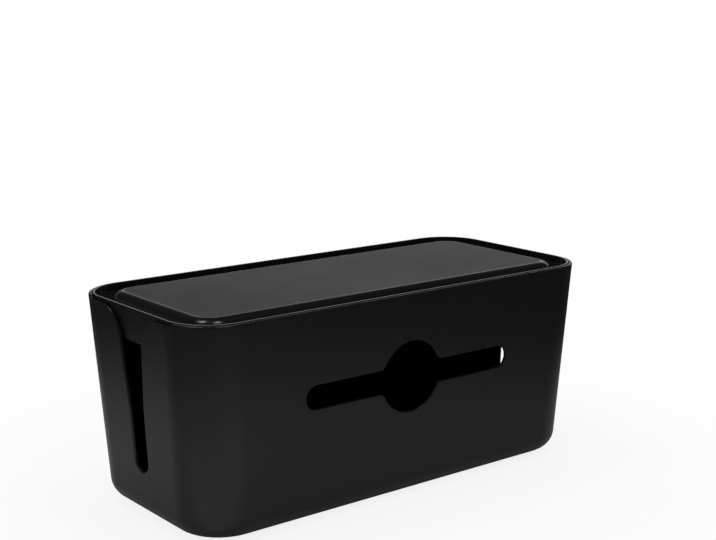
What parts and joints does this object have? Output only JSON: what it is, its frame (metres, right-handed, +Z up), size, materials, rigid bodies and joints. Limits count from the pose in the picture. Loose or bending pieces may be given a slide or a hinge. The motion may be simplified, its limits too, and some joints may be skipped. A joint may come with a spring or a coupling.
{
  "type": "cable management box",
  "caption": "Black desk box that hides a power strip and its leads, with a slotted front, an open slot in each end and a lift-off lid.",
  "frame": {"origin": "middle of the footprint, on the surface that the feet stand on", "axes": "+X along the box to the right, seen from the slotted front; +Y from the slotted front wall to the back; +Z up"},
  "size_m": [0.3198, 0.145, 0.1339],
  "materials": {
    "tub_plastic": "black moulded plastic, satin, a fine even grain",
    "lid_plastic": "black moulded plastic, satin, smoother and shinier on the raised panel",
    "foot_rubber": "matt black rubber"
  },
  "bodies": {
    "box": {"tub": "tub_plastic", "foot_front_left": "foot_rubber", "foot_front_right": "foot_rubber", "foot_back_left": "foot_rubber", "foot_back_right": "foot_rubber"},
    "lid": {"lid": "lid_plastic"}
  },
  "joints": [
    {"name": "lid_lift", "type": "slide", "parent": "box", "child": "lid", "axis": [0, 0, 1], "range_m": [0, 0.1]}
  ]
}
